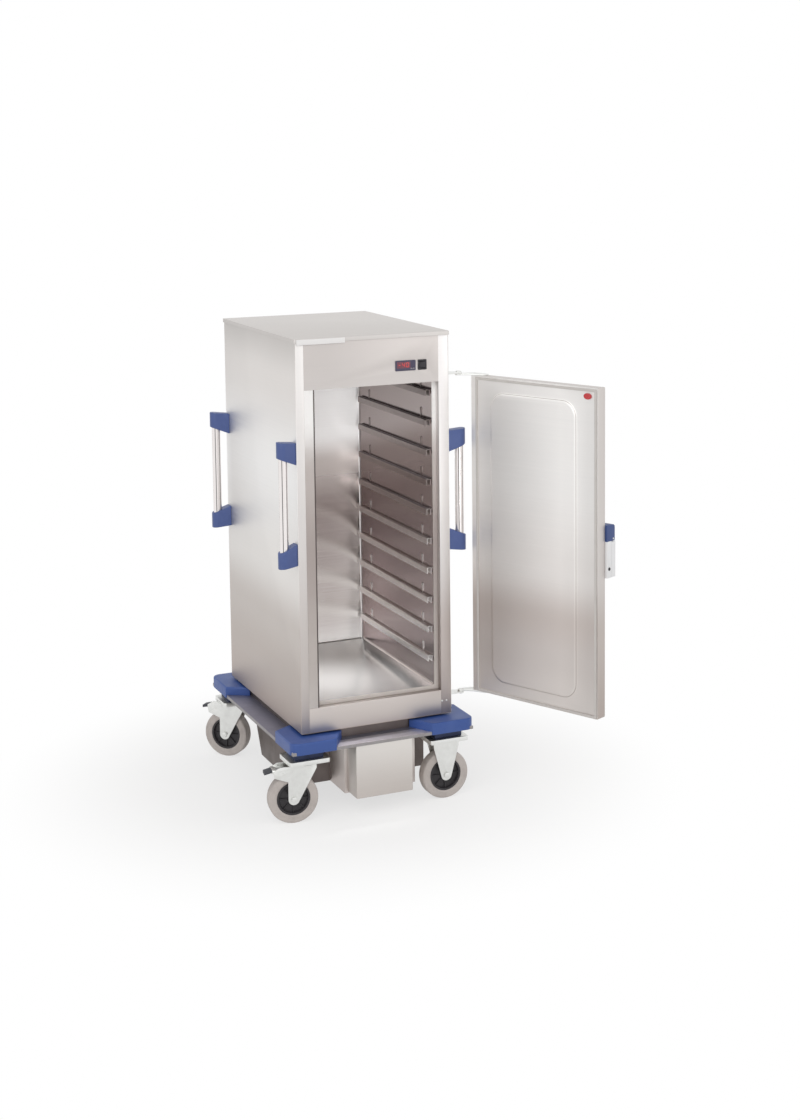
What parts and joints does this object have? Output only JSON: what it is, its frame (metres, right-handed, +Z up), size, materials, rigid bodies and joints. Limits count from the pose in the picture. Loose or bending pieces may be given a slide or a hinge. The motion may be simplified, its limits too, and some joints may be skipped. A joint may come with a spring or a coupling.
{
  "type": "refrigerated banquet cart",
  "caption": "Tall stainless refrigerated tray cart on casters, side-hinged door held open, tray rails inside, corner bumpers, push handles and a cooling unit under the platform.",
  "frame": {"origin": "on the floor, under the middle of the cabinet's plan", "axes": "+Z up, -Y towards the front with the door, +X towards the side that carries the door hinges"},
  "size_m": [1.0033, 1.2607, 1.538],
  "materials": {
    "stainless": "satin",
    "dark_steel": "matt",
    "foam": "matt",
    "grey_plastic": "satin",
    "blue_plastic": "satin",
    "white_plastic": "gloss",
    "zinc_steel": "satin",
    "black_plastic": "satin",
    "tyre_rubber": "matt",
    "aluminium": "satin",
    "red_plastic": "gloss",
    "window": "gloss",
    "seal_rubber": "matt"
  },
  "bodies": {
    "cart": {"cabinet_shell": "stainless", "cabinet_lid": "stainless", "cabinet_liner": "stainless", "header_panel": "stainless", "sill_panel": "stainless", "front_posts": "stainless", "tray_rails_left": "stainless", "tray_rails_right": "stainless", "rail_studs": "stainless", "hinge_brackets": "stainless", "hinge_pins": "stainless", "machine_cover": "stainless", "ceiling_panel": "stainless", "platform": "dark_steel", "machine_housing": "dark_steel", "compressor": "dark_steel", "cabinet_insulation": "foam", "jamb_frame": "grey_plastic", "corner_bumpers": "blue_plastic", "handle_blocks": "blue_plastic", "name_plate_blank": "white_plastic", "swivel_plates": "zinc_steel", "fork_front_right": "zinc_steel", "fork_rear_right": "zinc_steel", "axles_right": "zinc_steel", "controller_body": "black_plastic", "rocker_bezel": "black_plastic", "handle_grips": "aluminium", "condenser": "aluminium", "evaporator": "aluminium", "display_window": "window"},
    "door": {"door_outer_skin": "stainless", "door_inner_skin": "stainless", "door_core": "foam", "door_gasket": "seal_rubber", "door_badge_blank": "red_plastic", "hinge_arms": "stainless", "latch_block": "blue_plastic", "latch_housing": "grey_plastic"},
    "latch_lever": {"latch_lever": "grey_plastic"},
    "latch_lock": {"latch_lock": "black_plastic"},
    "fork_front_left": {"fork_front_left": "zinc_steel", "axle_front_left": "zinc_steel"},
    "wheel_front_left": {"hub_front_left": "black_plastic", "tyre_front_left": "tyre_rubber"},
    "pedal_front_left": {"brake_pedal_front_left": "zinc_steel"},
    "fork_rear_left": {"fork_rear_left": "zinc_steel", "axle_rear_left": "zinc_steel"},
    "wheel_rear_left": {"hub_rear_left": "black_plastic", "tyre_rear_left": "tyre_rubber"},
    "pedal_rear_left": {"brake_pedal_rear_left": "zinc_steel"},
    "wheel_front_right": {"hub_front_right": "black_plastic", "tyre_front_right": "tyre_rubber"},
    "wheel_rear_right": {"hub_rear_right": "black_plastic", "tyre_rear_right": "tyre_rubber"},
    "rocker": {"rocker_paddle": "black_plastic"},
    "key_left": {"key_left": "black_plastic"},
    "key_right": {"key_right": "black_plastic"},
    "condenser_fan": {"condenser_fan": "black_plastic"},
    "evaporator_fan": {"evaporator_fan": "black_plastic"}
  },
  "joints": [
    {"name": "door_hinge", "type": "hinge", "parent": "cart", "child": "door", "pos_m": [0.3015, -0.3395, 0.87], "axis": [0, 0, 1], "range_deg": [-115, 120]},
    {"name": "latch_lever_hinge", "type": "hinge", "parent": "door", "child": "latch_lever", "pos_m": [0.60866, -0.77885, 0.915], "axis": [-0.4226, 0.9063, 0], "range_deg": [-32, 0]},
    {"name": "latch_lock_turn", "type": "hinge", "parent": "door", "child": "latch_lock", "pos_m": [0.5959, -0.80356, 0.822], "axis": [-0.4226, 0.9063, 0], "range_deg": [0, 90]},
    {"name": "swivel_front_left", "type": "hinge", "parent": "cart", "child": "fork_front_left", "pos_m": [-0.243, -0.338, 0.19], "axis": [0, 0, 1], "continuous": true},
    {"name": "roll_front_left", "type": "hinge", "parent": "fork_front_left", "child": "wheel_front_left", "pos_m": [-0.28459, -0.33215, 0.08], "axis": [0.1392, 0.9903, 0], "continuous": true},
    {"name": "pedal_front_left", "type": "hinge", "parent": "fork_front_left", "child": "pedal_front_left", "pos_m": [-0.31727, -0.32756, 0.1716], "axis": [0.1392, 0.9903, 0], "range_deg": [-12, 0]},
    {"name": "swivel_rear_left", "type": "hinge", "parent": "cart", "child": "fork_rear_left", "pos_m": [-0.243, 0.338, 0.19], "axis": [0, 0, 1], "continuous": true},
    {"name": "roll_rear_left", "type": "hinge", "parent": "fork_rear_left", "child": "wheel_rear_left", "pos_m": [-0.2727, 0.3677, 0.08], "axis": [0.7071, 0.7071, 0], "continuous": true},
    {"name": "pedal_rear_left", "type": "hinge", "parent": "fork_rear_left", "child": "pedal_rear_left", "pos_m": [-0.29603, 0.39103, 0.1716], "axis": [0.7071, 0.7071, 0], "range_deg": [-12, 0]},
    {"name": "roll_front_right", "type": "hinge", "parent": "cart", "child": "wheel_front_right", "pos_m": [0.236, -0.338, 0.08], "axis": [0, 1, 0], "continuous": true},
    {"name": "roll_rear_right", "type": "hinge", "parent": "cart", "child": "wheel_rear_right", "pos_m": [0.236, 0.338, 0.08], "axis": [0, 1, 0], "continuous": true},
    {"name": "rocker_tilt", "type": "hinge", "parent": "cart", "child": "rocker", "pos_m": [0.168, -0.35, 1.4345], "axis": [1, 0, 0], "range_deg": [-8, 8]},
    {"name": "key_left_press", "type": "slide", "parent": "cart", "child": "key_left", "axis": [0, 1, 0], "range_m": [0, 0.0008], "stiffness_N_per_m": 300, "springref_m": -0.001},
    {"name": "key_right_press", "type": "slide", "parent": "cart", "child": "key_right", "axis": [0, 1, 0], "range_m": [0, 0.0008], "stiffness_N_per_m": 300, "springref_m": -0.001},
    {"name": "condenser_fan_spin", "type": "hinge", "parent": "cart", "child": "condenser_fan", "pos_m": [0.0155, -0.26, 0.15075], "axis": [0, 1, 0], "continuous": true},
    {"name": "evaporator_fan_spin", "type": "hinge", "parent": "cart", "child": "evaporator_fan", "pos_m": [0, -0.121, 1.408], "axis": [0, 0, 1], "continuous": true}
  ]
}
